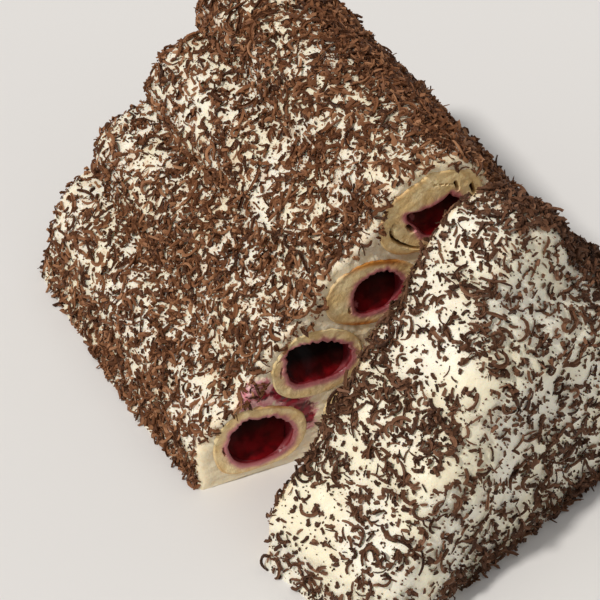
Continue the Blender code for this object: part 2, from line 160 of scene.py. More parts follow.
# The hollow's lip is ragged, most of all at the roof: in millimetres by row, and as layers of noise
RAGGED, HIDDEN_RAGGED = {1: 0.8, 2: 1.3, 3: 0.8, 4: 0.35}, 0.3
TEETH, TEETH_DEEP = ((1, 0.0013, 0), (0.8, 0.0030, 0)), 0.004
ROOF_SHIFT, TEETH_LEAST, TEETH_MOST = 0.45, 0.15, 1.2
LIP, LIP_RINGS, LIP_SUNK = 0.0007, 4, 0.0001
HOLLOW_RINGS = (0.034, 0.024, 0.017, 0.012, 0.0085, 0.006, 0.0042, 0.0028, 0.0017)
WALL_WAVE, WALL_WAVE_LONG = 0.0008, 0.006
CRUMB_RELIEF = ((0.00022, 0.005, 0), (0.00016, 0.0017, 0))
FACE_BULGE, BULGE_WIDE = 0.0003, 0.011


def tube_places():
    """Row, place in the row, and the middle of each tube across and up."""
    for row, count in enumerate(ROWS):
        for place in range(count):
            across = place * PITCH - (count - 1) * LEFT_STEP
            yield row + 1, place + 1, across, TUBE_BOTTOM + row * ROW_RISE


def back_cut(across):
    return -math.tan(CUT_SLANT) * across


def front_cut(across):
    """The end piece's own cut, or the back piece's where the two still touch at the far foot."""
    slope, sine, cosine = math.tan(CUT_SLANT), math.sin(FRONT_TURN), math.cos(FRONT_TURN)
    gap = PIECE_GAP / math.cos(CUT_SLANT)
    room = -gap - FRONT_MOVE.y - slope * FRONT_MOVE.x - (sine + slope * cosine) * across
    return np.minimum(back_cut(across), room / (cosine - slope * sine))


# The two pieces of cake. Each runs one way from its cut, to where its rows of tubes end. Then come
# the cream over those ends and their rounding, and the depth of the furrows and the spread of the
# foot, at the cut and at the far end
PIECES = {
    "back": {
        "cut": back_cut, "way": 1, "rows": (0.1485, 0.1520, 0.1460, 0.1425), "end cover": 0.0060,
        "edge": 0.0090, "furrow": (0.0034, 0.0086), "spread": (0.0020, 0.0065), "stations": 104,
        "place": Matrix(),
    },
    "front": {
        "cut": front_cut, "way": -1, "rows": (0.0490, 0.0490, 0.0440, 0.0300), "end cover": 0.0140,
        "edge": 0.0140, "furrow": (0.0016, 0.0024), "spread": (0.0040, 0.0045), "stations": 34,
        "place": Matrix.Translation(FRONT_MOVE)
        @ Matrix.Rotation(FRONT_TURN, 4, "Z")
        @ Matrix.Scale(FRONT_SLUMP, 4, (0, 0, 1)),
    },
}


def smooth_loop(points, steps=16):
    """A smooth closed curve through a few points."""
    here = np.array(points, float)
    before, after, beyond = (np.roll(here, shift, axis=0) for shift in (1, -1, -2))
    part = np.linspace(0, 1, steps, endpoint=False)[:, None, None]
    curve = 2 * here + (after - before) * part
    curve = curve + (2 * before - 5 * here + 4 * after - beyond) * part**2
    curve = (curve + (3 * here - before - 3 * after + beyond) * part**3) / 2
    return curve.transpose(1, 0, 2).reshape(-1, 2)


def circle(angles):
    return np.stack([np.cos(angles), np.sin(angles)], axis=1)


def round_points(points, middle, angles):
    """Points of a closed curve at the given angles round a point inside it."""
    out = smooth_loop(points) - middle
    reach = np.interp(angles, np.arctan2(out[:, 1], out[:, 0]), np.hypot(*out.T), period=math.tau)
    return circle(angles) * reach[:, None] + middle


def lumps(points, size, seed=0.0):
    """Smooth noise, about -1 to 1, at each point of an array."""
    flat = np.asarray(points).reshape(-1, 3) / size + seed
    values = [noise.noise(point) for point in flat.tolist()]
    return np.array(values).reshape(np.asarray(points).shape[:-1])


def clouds(points, layers, seed=0.0, level=0.0):
    """Layers of smooth noise on a level, each layer given as its strength, size and own seed."""
    return sum((strength * lumps(points, size, seed + own) for strength, size, own in layers), level)


def tube_shape(name, row, place, across, up, count):
    """Outlines of one tube and its hollow across the cake, each an array of points."""
    draw = random.Random(f"{SEED} {name} {row} {place}")
    astray = [draw.uniform(-HOLLOW_ASTRAY, HOLLOW_ASTRAY) for _ in range(2)]
    waves = [(waves_round, draw.uniform(0, math.tau)) for waves_round in (2, 3, 5)]
    angles = np.linspace(0, math.tau, count, endpoint=False)
    if place == 1:
        outer = round_points(SHOWN[row]["dough"], (0, 0), angles) * MM
        hollow = round_points(SHOWN[row]["hollow"], SHOWN[row]["middle"], angles) * MM
    else:
        stray = TUBE_UNEVEN * sum(np.sin(n * angles + start) for n, start in waves)[:, None]
        outer = circle(angles) * (TUBE_WIDE / 2, TUBE_HIGH / 2) * (1 + stray / 2)
        hollow = circle(angles) * (HOLLOW_WIDE / 2, HOLLOW_HIGH / 2) * (1 + stray * 2) + astray
    piece = PIECES[name]
    closed = piece["way"] * (piece["rows"][row - 1] - piece["end cover"])
    middle = np.array((across, up))
    return {"outer": outer + middle, "hollow": hollow + middle, "closed": closed, "middle": middle}


def set_at(outline, along):
    """An outline across the cake, set at one place along it or at a place for each point."""
    return np.stack([outline[:, 0], np.broadcast_to(along, len(outline)), outline[:, 1]], axis=1)


def set_back(piece, outline, behind):
    """An outline across the cake, set behind the piece's cut."""
    return set_at(outline, piece["cut"](outline[:, 0]) + piece["way"] * behind)


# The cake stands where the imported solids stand: the box round one hidden tube is the same in both
hidden_tube = tube_shape("back", 1, 2, *list(tube_places())[1][2:], 16)["outer"]
hidden_corner = (hidden_tube[:, 0].min(), back_cut(hidden_tube[:, 0]).min(), hidden_tube[:, 1].min())
CAKE_MOVE = Matrix.Translation(Vector(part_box("dough_back_row1_2")[0]) - Vector(hidden_corner))
for piece in PIECES.values():
    piece["place"] = CAKE_MOVE @ piece["place"]


def wrapped(rings, **marks):
    """A closed skin over rings of points: a grid rolled round until its sides meet."""
    rings = np.asarray(rings)
    rows, columns, _ = rings.shape
    bm = bmesh.new()
    layers = {name: bm.verts.layers.float.new(name) for name in marks}
    bmesh.ops.create_grid(bm, x_segments=columns, y_segments=rows - 1, size=1)
    for index, vert in enumerate(bm.verts):
        row, column = divmod(index, columns + 1)
        vert.co = rings[row, column % columns]
        for name, layer in layers.items():
            vert[layer] = marks[name][row, column % columns]
    bmesh.ops.remove_doubles(bm, verts=bm.verts, dist=1e-7)
    bmesh.ops.recalc_face_normals(bm, faces=bm.faces)
    return bm


def mesh_from(name, bm):
    """The mesh of a bmesh that is done with."""
    mesh = bpy.data.meshes.new(name)
    bm.to_mesh(mesh)
    bm.free()
    return mesh


def linked(name, mesh):
    made = bpy.data.objects.new(name, mesh)
    bpy.context.scene.collection.objects.link(made)
    return made


def served(name, mesh, finish, sharp=50):
    """A finished piece of the cake, smooth but for edges sharper than an angle in degrees."""
    mesh.shade_smooth()
    mesh.set_sharp_from_angle(angle=math.radians(sharp))
    mesh.materials.append(finish)
    made = linked(name, mesh)
    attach(made, "root")
    return made


def set_down(name, bm, place, finish, node):
    """Makes a finished piece, in its place, for the solid that it stands for."""
    bmesh.ops.transform(bm, matrix=place, verts=bm.verts)
    made = served(name, mesh_from(name, bm), finish)
    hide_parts(node)


def away_from_line(points, line):
    """Distance from each point to a line of straight runs."""
    nearest = np.full(points.shape[:-1], np.inf)
    for start, stop in zip(line[:-1], line[1:]):
        run = stop - start
        share = np.clip(((points - start) @ run) / (run @ run), 0, 1)
        nearest = np.minimum(nearest, np.linalg.norm(points - start - share[..., None] * run, axis=-1))
    return nearest


def gap_share(row, middle, points):
    """How far each point of a shown tube's cut lies in a gap between two folds."""
    share = np.zeros(points.shape[:-1])
    for gap_row, wide, line in GAPS:
        if gap_row == row:
            away = away_from_line(points, np.array(line) * MM + middle)
            share = np.maximum(share, np.clip(GAP_FLOOR - away / (wide * MM / 2) * GAP_SIDES, 0, 1))
    return share


def browned(row, angles, shown):
    """How brown the skin is at each angle round a tube."""
    degrees, strength = np.degrees(angles), np.full(len(angles), SKIN_TAN[row])
    for middle, spread, brown in BROWNED[row] if shown else HIDDEN_BROWNED:
        off = (degrees - middle + 180) % 360 - 180
        strength = np.maximum(strength, brown * np.exp(-((off / spread) ** 2)))
    return strength


def dough_tube(name, row, place, across, up):
    """Rings of one tube from the closed end of its hollow, over the cut, to its own closed end."""
    piece, shown = PIECES[name], place == 1
    count, face_rings = SHOWN_FINE if shown else HIDDEN_FINE
    shape = tube_shape(name, row, place, across, up, count)
    outer, hollow, middle, way = shape["outer"], shape["hollow"], shape["middle"], piece["way"]
    angles = np.linspace(0, math.tau, count, endpoint=False)
    seed = ROW_SEED * row + PLACE_SEED * place
    inner_end, rings, stain, brown, gap = shape["closed"] - way * CLOSED_WALL, [], [], [], []
    heart, skin = hollow.mean(axis=0), browned(row, angles, shown)

    def add(ring, stained, crust=0.0, open_gap=0.0):
        rings.append(ring)
        for marks, value in ((stain, stained), (brown, crust), (gap, open_gap)):
            marks.append(np.broadcast_to(value, (count,)))

    at_roof = np.clip(np.sin(angles) + ROOF_SHIFT, TEETH_LEAST, TEETH_MOST)
    teeth = clouds(set_at(hollow, 0), TEETH, seed)
    teeth *= (RAGGED[row] if shown else HIDDEN_RAGGED) * MM * at_roof
    out = (hollow - heart) / np.linalg.norm(hollow - heart, axis=1)[:, None]

    add(set_at(hollow * 0 + heart, inner_end), 1)
    add(set_at(hollow, inner_end), 1)
    room = np.min(way * (inner_end - piece["cut"](hollow[:, 0])))
    for behind in [depth for depth in HOLLOW_RINGS if depth < room]:
        wave = lumps(set_back(piece, hollow, behind), WALL_WAVE_LONG, seed)[:, None] * WALL_WAVE
        wall = hollow + out * (wave * min(1, behind / TEETH_DEEP))
        wall = wall + out * teeth[:, None] * max(0, 1 - behind / TEETH_DEEP)
        add(set_back(piece, wall, behind), RIM_STAIN + (1 - RIM_STAIN) * min(1, behind / STAIN_DEEP))
    for turn in np.linspace(0, math.pi / 2, LIP_RINGS):
        inward = hollow + out * (LIP * (1 - math.cos(turn)) + teeth[:, None])
        behind = LIP * (1 - math.sin(turn)) + LIP_SUNK
        add(set_back(piece, inward, behind), 1 - LIP_STAIN_LOSS * math.sin(turn))
    face_inner = hollow + out * (LIP + teeth[:, None])
    face_outer = outer - (outer - middle) * (LIP / (TUBE_WIDE / 2))
    wall = np.linalg.norm(face_outer - face_inner, axis=1)
    for share in np.linspace(0, 1, face_rings + 2)[1:-1]:
        ring = face_inner * (1 - share) + face_outer * share
        flat = set_at(ring, 0)
        spread = STAIN_SPREAD * (1 + STAIN_UNEVEN * lumps(flat, STAIN_PATCH, seed + 3))
        stained = sum(
            strength * np.exp(-((share * wall / (reach * spread)) ** falloff))
            for strength, reach, falloff in STAINS
        )
        from_skin = ((1 - share) * wall + LIP) / CRUST_THICK[row]
        crust = np.exp(-(from_skin**2) * 0.5) * skin
        open_gap = gap_share(row, middle, ring) if shown else np.zeros(count)
        bulge = FACE_BULGE * math.sin(share * math.pi) * lumps(flat, BULGE_WIDE, seed + 9)
        relief = clouds(flat, CRUMB_RELIEF, seed) + bulge
        add(set_back(piece, ring, relief + GAP_DEEP * open_gap), stained, crust, open_gap)
    for turn in np.linspace(0, math.pi / 2, LIP_RINGS):
        edge = outer - (outer - middle) * (LIP / (TUBE_WIDE / 2)) * (1 - math.sin(turn))
        add(set_back(piece, edge, LIP * (1 - math.cos(turn))), 0, skin)
    for behind in SIDE_RINGS:
        add(set_back(piece, outer, behind), 0, SIDE_BROWN)
    add(set_at(outer, shape["closed"]), 0, SIDE_BROWN)
    add(set_at(outer * 0 + middle, shape["closed"]), 0, SIDE_BROWN)
    return wrapped(rings, stain=np.array(stain), baked=np.array(brown), gap=np.array(gap))


class Wire:
    """One output of a material's nodes. Sums and products of wires and numbers add Math nodes."""

    def __init__(self, finish, output):
        self.finish, self.output = finish, output

    def maths(self, operation, *values):
        return self.finish.node("Math", {"operation": operation}, dict(enumerate(values)))

    def __add__(self, other):
        return self.maths("ADD", self, other)

    __radd__ = __add__

    def __sub__(self, other):
        return self.maths("SUBTRACT", self, other)

    def __rsub__(self, other):
        return self.maths("SUBTRACT", other, self)

    def __mul__(self, other):
        return self.maths("MULTIPLY", self, other)

    __rmul__ = __mul__


class Finish:
    """A material of nodes behind one Principled shader."""

    def __init__(self, name, **constants):
        self.material = bpy.data.materials.new(name)
        self.material.use_nodes = True
        self.tree = self.material.node_tree
        self.shader = self.tree.nodes["Principled BSDF"]
        for socket, value in constants.items():
            self.shader.inputs[socket.replace("_", " ")].default_value = value
        self.place = self.node("TexCoord", output="Object")

    def link(self, value, socket):
        if isinstance(value, Wire):
            self.tree.links.new(value.output, socket)
        else:
            socket.default_value = value

    def node(self, kind, settings=None, inputs=None, output=0):
        """Adds a node of a kind, with its settings, ramp stops and socket values or links."""
        made = self.tree.nodes.new("ShaderNode" + kind)
        for key, value in (settings or {}).items():
            if key == "stops":
                ramp = made.color_ramp.elements
                while len(ramp) < len(value):
                    ramp.new(1)
                for stop, (position, colour) in zip(ramp, value):
                    stop.position, stop.color = position, colour
            else:
                setattr(made, key, value)
        for socket, value in (inputs or {}).items():
            self.link(value, made.inputs[socket])
        return Wire(self, made.outputs[output])

    def mark(self, name):
        return self.node("Attribute", {"attribute_name": name}, output="Fac")

    def noise(self, size, detail=3.0, roughness=0.5):
        """Cloudy noise whose patches are about as large as size."""
        inputs = {"Vector": self.place, "Scale": 1 / size, "Detail": detail, "Roughness": roughness}
        return self.node("TexNoise", None, inputs)

    def ramp(self, value, *stops):
        return self.node("ValToRGB", {"stops": stops}, {0: value})

    def between(self, value, low, high):
        """0 below low, 1 above high and smooth between them."""
        settings = {"interpolation_type": "SMOOTHSTEP"}
        return self.node("MapRange", settings, {0: value, 1: low, 2: high})

    def patches(self, low, high, size, *cloud):
        """Cloudy patches about as large as size, 0 where the noise is below low and 1 above high."""
        return self.between(self.noise(size, *cloud), low, high)

    def mix(self, share, first, second):
        inputs = {0: share, 6: first, 7: second}
        return self.node("Mix", {"data_type": "RGBA"}, inputs, output=2)

    def bump(self, height, distance, strength):
        normal = self.node("Bump", None, {"Height": height, "Distance": distance, "Strength": strength})
        self.link(normal, self.shader.inputs["Normal"])

    def set(self, socket, value):
        self.link(value, self.shader.inputs[socket])


def tint(red, green, blue):
    """A colour as a screen shows it, 0 to 255, made linear for the shader."""
    shares = [value / 255 for value in (red, green, blue)]
    linear = [share / 12.92 if share < 0.04045 else ((share + 0.055) / 1.055) ** 2.4 for share in shares]
    return (*linear, 1)


dough = Finish("baked dough", Subsurface_Weight=0.08, Subsurface_Scale=0.003, Roughness=0.6)
dough.shader.inputs["Subsurface Radius"].default_value = (1.0, 0.6, 0.3)
PALE_CRUMB, BAKED_CRUMB, PORES = tint(250, 230, 180), tint(238, 208, 148), tint(208, 172, 118)
STAINED, SOAKED = tint(200, 128, 132), tint(120, 26, 34)
TAN_SKIN, BROWN_SKIN, GAP_SHADE = tint(206, 140, 60), tint(178, 104, 34), tint(92, 56, 22)
crumb = dough.mix(dough.patches(0.35, 0.65, 0.006), PALE_CRUMB, BAKED_CRUMB)
crumb = dough.mix(dough.patches(0.48, 0.66, 0.0011, 5, 0.6) * 0.42, crumb, PORES)
stain = dough.mark("stain")
crumb = dough.mix(dough.between(stain, 0.02, 0.5), crumb, STAINED)
crumb = dough.mix(dough.between(stain, 0.4, 1.0), crumb, SOAKED)
skin = dough.mix(dough.patches(0.3, 0.7, 0.004), TAN_SKIN, BROWN_SKIN)
crumb = dough.mix(dough.between(dough.mark("baked"), 0.05, 0.75), crumb, skin)
# Painted shade: the gaps between folds are painted dark brown, as the shade inside them
crumb = dough.mix(dough.between(dough.mark("gap"), 0.2, 0.9), crumb, GAP_SHADE)
dough.set("Base Color", crumb)
dough.set("Roughness", 0.62 - dough.between(stain, 0.2, 0.9) * 0.3)
dough.bump(dough.noise(0.0022, 4) + dough.noise(0.0007, 2) * 0.6, 0.0005, 0.5)

for name, piece in PIECES.items():
    for row, place, across, up in tube_places():
        node = f"dough_{name}_row{row}_{place}"
        bm = dough_tube(name, row, place, across, up)
        set_down(f"tube_{name}_{row}_{place}", bm, piece["place"], dough.material, node)

# ------------------------------------------------------------------------------ cherries
# Sour cherries in their own thickened juice, baked inside the tubes. The filling has shrunk away
# from the roof of each tube, so it slumps back from the cut and shines wet in the hollow's floor.

FILLING_BACK, CHERRY_LUMP, CHERRY_WIDE, CHERRY_SEED = 0.0011, 0.0010, 0.0075, 3.1
FILLING_POINTS, FILLING_FREE = 120, 0.0003
FACE_SHARES = (0.0, 0.12, 0.24, 0.36, 0.48, 0.6, 0.71, 0.81, 0.9, 0.96, 0.99)
FAR_SHARES = (0.985, 0.0)
FILLING_LEAN = {1: 0.65, 2: 1.0, 3: 0.8, 4: 0.8}  # how steeply it slumps, by row
GLOOM = {1: 0.66, 2: 1.5, 3: 1.0, 4: 0.9}  # how soon it turns dark upwards
# Pale wet cherry and cream at the front of a shown filling: row, place in millimetres, and reach
SMEARS = [(3, (-5.8, -8.2), 1.4), (4, (-5.4, -5.6), 1.3)]


def smeared(row, points):
    """How pale the filling is at points of a shown tube, measured from the tube's middle."""
    share = np.zeros(len(points))
    for smear_row, spot, reach in SMEARS:
        if smear_row == row:
            away = np.linalg.norm(points / MM - spot, axis=1)
            share = np.maximum(share, np.exp(-((away / reach) ** 2)))
    return share


def filling(name, row, place, across, up):
    """Rings of one filling from the middle of its slumped face to its far end."""
    piece = PIECES[name]
    shape = tube_shape(name, row, place, across, up, FILLING_POINTS)
    hollow = shape["hollow"]
    heart, bottom = hollow.mean(axis=0), hollow[:, 1].min()
    rings, depth, pale = [], [], []
    for share in FACE_SHARES:
        ring = heart + (hollow - heart) * share
        slump = FILLING_BACK + FILLING_LEAN[row] * (ring[:, 1] - bottom)
        slump = slump - CHERRY_LUMP * lumps(set_at(ring, 0), CHERRY_WIDE, CHERRY_SEED * row + place)
        rings.append(set_back(piece, ring, slump))
        depth.append((ring[:, 1] - bottom) / HOLLOW_HIGH * GLOOM[row])
        pale.append(smeared(row, ring - shape["middle"]) if place == 1 else depth[-1] * 0)
    far = shape["closed"] - piece["way"] * (CLOSED_WALL + FILLING_FREE)
    for share in FAR_SHARES:
        rings.append(set_at(heart + (hollow - heart) * share, far))
        depth.append(depth[-1])
        pale.append(pale[-1])
    return wrapped(rings, depth=np.array(depth), pale=np.array(pale))


cherry = Finish("cherry filling", Coat_Weight=0.04, Coat_Roughness=0.12, Specular_IOR_Level=0.14)
FLESH, DARK_FLESH, IN_SHADE, WET = tint(118, 10, 18), tint(80, 5, 11), tint(16, 1, 3), tint(214, 132, 142)
flesh = cherry.mix(cherry.patches(0.35, 0.65, 0.004), FLESH, DARK_FLESH)
# Painted shade: the filling is painted near black upwards, where the roof of its tube shades it
flesh = cherry.mix(cherry.between(cherry.mark("depth"), 0.08, 0.48), flesh, IN_SHADE)
smear = cherry.between(cherry.mark("pale") + cherry.noise(0.0010, 4, 0.65) * 1.3, 1.05, 1.45) * 0.6
cherry.set("Base Color", cherry.mix(smear, flesh, WET))
cherry.set("Roughness", 0.28 + cherry.noise(0.003) * 0.2)
cherry.bump(cherry.noise(0.0045, 2), 0.0008, 0.5)

for name, piece in PIECES.items():
    for row, place, across, up in tube_places():
        node = f"cherries_{name}_row{row}_{place}"
        bm = filling(name, row, place, across, up)
        set_down(f"filling_{name}_{row}_{place}", bm, piece["place"], cherry.material, node)

# ------------------------------------------------------------------------------ sour cream
# Thick whipped sour cream binds the tubes and is spread over the stack with a spoon, which leaves
# soft furrows between the tubes and shallow marks. Cherry juice has run into it at the cut.

# The cream's thickness over the tubes, how softly it runs from one to the next, and its heaped foot
COVER, SOFTNESS, FOOT_HIGH = 0.0038, 0.0016, 0.024
HEIGHT = TUBE_BOTTOM + (len(ROWS) - 1) * ROW_RISE + TUBE_HIGH / 2 + COVER
RIGHT_STEP = PITCH - LEFT_STEP
LEFT_BASE = (ROWS[0] - 1) * LEFT_STEP + TUBE_WIDE / 2 + COVER
RIGHT_BASE = (ROWS[0] - 1) * RIGHT_STEP + TUBE_WIDE / 2 + COVER
CORE = np.array((0.0, 0.36 * HEIGHT))  # the outline and its rings are laid round this point
RADII = np.array((TUBE_WIDE / 2 + COVER, TUBE_HIGH / 2 + COVER))
OUTLINE_SAMPLES, OVER_POINTS, UNDER_POINTS = 1400, 330, 12
FACE_RINGS, RIM_RINGS, EDGE_RINGS, END_RINGS, CUTTER_POINTS = 44, 5, 9, 46, 96
# Large waves, marks of the spoon with finer ones in them, and swirls by the way that a piece runs
CREAM_WAVE, WAVE_LONG, SPOON_MARK, SPOON_LONG, SPOON_ROUGH = 0.0013, 0.030, 0.0007, 0.011, 0.35
SWIRL, SWIRL_LONG = {1: 0.0004, -1: 0.0012}, 0.015
# The cut's rounded rim and torn face, and swellings over the tubes and grain on the closed end
RIM, FACE_RELIEF, FACE_CLOUDS, FACE_DEEP = 0.0028, 0.0006, ((1.6, 0.006, 0), (1, 0.0022, 0)), 0.0025
END_LOBE, LOBE_SPREAD, END_GRAIN, END_GRAIN_WIDE = 0.0028, 0.26, 0.4, 0.004
END_BLEND, END_MARK_BLEND = 12, 4


def side_reach(direction, furrow):
    """Distance from the core to the flat sides that lie at the depth of the furrows."""
    step, base = (LEFT_STEP, LEFT_BASE) if direction[0] < 0 else (RIGHT_STEP, RIGHT_BASE)
    slope = math.atan2(ROW_RISE, step)
    out = np.array((math.sin(slope), math.cos(slope)))
    top_tube = np.array((0.0, TUBE_BOTTOM + (len(ROWS) - 1) * ROW_RISE))
    side = out @ top_tube + np.linalg.norm(out * RADII) - furrow
    walls = [
        (np.array((abs(direction[0]), direction[1])) @ out, side - out @ CORE),
        (abs(direction[0]), base),
        (direction[1], HEIGHT - furrow - CORE[1]),
    ]
    return min(room / rate for rate, room in walls if rate > 1e-6)


def oval_reach(direction, across, up):
    """Distance from the core to the far side of the cream round one tube, or 0 past it."""
    start, step = (CORE - (across, up)) / RADII, direction / RADII
    a, b, c = step @ step, start @ step, start @ start - 1
    inside = b * b - a * c
    return (math.sqrt(inside) - b) / a if inside > 0 else 0.0


def cream_outline(furrow):
    """Even points over the cream from the left foot to the right foot, and back underneath."""
    left_foot, right_foot = (math.atan2(-CORE[1], base) for base in (LEFT_BASE, RIGHT_BASE))
    points = []
    for angle in np.linspace(math.pi - left_foot, right_foot, OUTLINE_SAMPLES):
        direction = np.array((math.cos(angle), math.sin(angle)))
        reaches = [oval_reach(direction, *middle) for _, _, *middle in tube_places()]
        reaches = np.array([*reaches, side_reach(direction, furrow)])
        reach = SOFTNESS * math.log(np.exp((reaches - reaches.max()) / SOFTNESS).sum()) + reaches.max()
        point = CORE + reach * direction
        points.append((point[0], max(0.0, point[1])))
    points = np.array(points)
    points[[0, -1], 1] = 0.0
    run = np.concatenate([[0], np.cumsum(np.linalg.norm(np.diff(points, axis=0), axis=1))])
    even = np.linspace(0, run[-1], OVER_POINTS)
    over = np.stack([np.interp(even, run, points[:, axis]) for axis in (0, 1)], axis=1)
    under = np.linspace(over[-1], over[0], UNDER_POINTS + 2)[1:-1]
    return np.concatenate([over, under])


def closed_end(piece, up):
    """How far along a piece's closed end lies, level over each row and stepped between rows."""
    level = np.clip((up - TUBE_BOTTOM) / ROW_RISE, 0.0, len(ROWS) - 1.0)
    row = np.minimum(level.astype(int), len(ROWS) - 2)
    part, rows = level - row, np.array(piece["rows"])
    step = part * part * (3 - 2 * part)
    return piece["way"] * (rows[row] * (1 - step) + rows[row + 1] * step)


def spread_foot(piece, outline, along):
    """An outline of the cream where cream and chocolate heap outwards at the foot."""
    at_cut, beyond = piece["spread"]
    heap = np.maximum(0, 1 - outline[:, 1] / FOOT_HIGH) ** 2
    wide = heap * (at_cut + (beyond - at_cut) * min(1.0, abs(along) / (2 * FOOT_HIGH)))
    return np.stack([outline[:, 0] + np.copysign(wide, outline[:, 0]), outline[:, 1]], axis=1)


def spooned(piece, ring, outline, fade=1.0):
    """A ring of the cream moved out from the core by large waves and by the marks of the spoon."""
    out = set_at(outline - CORE, 0)
    out /= np.linalg.norm(out, axis=1)[:, None]
    wave = CREAM_WAVE * lumps(ring, WAVE_LONG)
    ridged = 0.5 - np.abs(lumps(ring * (1, 0.7, 1), SPOON_LONG, 4.0 + piece["way"]))
    rough = SPOON_ROUGH * SPOON_MARK * lumps(ring, SPOON_LONG / 3, 8.0)
    wave = wave + fade * (SPOON_MARK * ridged + rough)
    wave = wave + fade * SWIRL[piece["way"]] * lumps(ring, SWIRL_LONG, 12.0)
    moved = ring + out * wave[:, None]
    moved[:, 2] = np.where(outline[:, 1] > 0, np.maximum(0.0, moved[:, 2]), 0.0)
    return moved


def on_end(piece, outline, turn):
    """A ring on the rounding between the sides and the closed end."""
    wide = spread_foot(piece, outline, piece["rows"][0])
    inset = piece["edge"] * (1 - math.cos(turn)) / np.linalg.norm(wide - CORE, axis=1)
    inward = CORE + (wide - CORE) * (1 - inset[:, None])
    inward[:, 1] = np.where(outline[:, 1] > 0, inward[:, 1], 0.0)
    along = closed_end(piece, inward[:, 1]) - piece["way"] * piece["edge"] * (1 - math.sin(turn))
    return set_at(inward, along)


def cream_rings(piece):
    """Rings from the middle of the cut, over its rim and along the sides, to the closed end."""
    near, far = (cream_outline(furrow) for furrow in piece["furrow"])
    way, edge, outline = piece["way"], piece["edge"], near
    at_cut = spread_foot(piece, outline, 0)
    from_core = np.linalg.norm(at_cut - CORE, axis=1)[:, None]
    rings = []
    for share in np.linspace(0, 1, FACE_RINGS):
        flat = CORE + (at_cut - CORE) * (1 - RIM / from_core) * share
        relief = FACE_RELIEF * clouds(set_at(flat, 0), FACE_CLOUDS, level=1)
        rings.append(set_back(piece, flat, relief))
    for turn in np.linspace(0, math.pi / 2, RIM_RINGS)[1:]:
        edge_ring = CORE + (at_cut - CORE) * (1 - RIM * (1 - math.sin(turn)) / from_core)
        ring = set_back(piece, edge_ring, RIM * (1 - math.cos(turn)) + FACE_RELIEF)
        rings.append(spooned(piece, ring, outline, math.sin(turn)))
    stop = closed_end(piece, far[:, 1]) - way * edge
    for share in np.linspace(0, 1, piece["stations"])[1:]:
        outline = near + (far - near) * share
        wide = spread_foot(piece, outline, share * piece["rows"][0])
        start = piece["cut"](wide[:, 0]) + way * (RIM + FACE_RELIEF)
        rings.append(spooned(piece, set_at(wide, start + share * (stop - start)), outline))
    for turn in np.linspace(0, math.pi / 2, EDGE_RINGS)[1:]:
        rings.append(spooned(piece, on_end(piece, outline, turn), outline))
    rim = rings[-1]
    for share in [*np.linspace(1, 0, END_RINGS)[1:-1], 0.0]:
        flat = CORE + (rim[:, [0, 2]] - CORE) * share
        swell = 0
        for _, _, *middle in tube_places():
            off = ((flat - middle) ** 2).sum(axis=1)
            swell = swell + np.exp(-off / (2 * (TUBE_WIDE * LOBE_SPREAD) ** 2))
        mark = 0.5 - np.abs(lumps(set_at(flat, 0), SPOON_LONG, 6.0))
        mark = mark * SPOON_MARK * min(1, END_MARK_BLEND * (1 - share))
        mark = mark + SPOON_MARK * END_GRAIN * lumps(set_at(flat, 0), END_GRAIN_WIDE)
        along = closed_end(piece, flat[:, 1]) + way * (END_LOBE * swell + mark)
        blend = min(1.0, (1 - share) * END_BLEND)
        rings.append(set_at(flat, along * blend + rim[:, 1] * (1 - blend)))
    return rings


def bare(name, bm):
    """A mesh object of a bmesh that is done with, with no material."""
    return linked(name, mesh_from(name, bm))


def carved(body, cutter):
    """A bmesh of what is left of one closed mesh where another is taken out of it."""
    boolean = body.modifiers.new("hollows", "BOOLEAN")
    boolean.operation, boolean.object, boolean.solver = "DIFFERENCE", cutter, "MANIFOLD"
    result = bpy.data.meshes.new_from_object(body.evaluated_get(bpy.context.evaluated_depsgraph_get()))
    bm = bmesh.new()
    bm.from_mesh(result)
    for used in (body, cutter):
        bpy.data.objects.remove(used, do_unlink=True)
    bpy.data.meshes.remove(result)
    return bm


def tube_cutters(name):
    """The room of all ten tubes of a piece, open past its cut."""
    piece, joined = PIECES[name], bmesh.new()
    for row, place, across, up in tube_places():
        shape = tube_shape(name, row, place, across, up, CUTTER_POINTS)
        outer, middle = shape["outer"], shape["middle"]
        start = set_at(outer, back_cut(outer[:, 0]) - piece["way"] * TUBE_WIDE / 2)
        heart = np.array((middle[0], start[:, 1].mean(), middle[1]))
        stop = set_at(outer, shape["closed"])
        rings = [start * 0 + heart, start, stop, set_at(outer * 0 + middle, shape["closed"])]
        held = mesh_from("cutter", wrapped(rings))
        joined.from_mesh(held)
        bpy.data.meshes.remove(held)
    return joined


# Juice on the back piece's cut: across and up from the middle of the stack's foot, and its spread
PINK_SPOTS = [((-0.0735, 0.0440), 0.0050), ((-0.0700, 0.0395), 0.0066), ((-0.0655, 0.0440), 0.0060),
              ((-0.0640, 0.0395), 0.0070), ((-0.0600, 0.0400), 0.0060), ((-0.0560, 0.0350), 0.0056),
              ((-0.0500, 0.0310), 0.0054), ((-0.0470, 0.0250), 0.0048), ((-0.0468, 0.0185), 0.0040)]
DARK_SPOTS = [((-0.0648, 0.0402), 0.0026), ((-0.0602, 0.0402), 0.0026), ((-0.0575, 0.0366), 0.0036),
              ((-0.0541, 0.0339), 0.0048), ((-0.0510, 0.0300), 0.0054), ((-0.0480, 0.0255), 0.0050),
              ((-0.0470, 0.0205), 0.0034)]

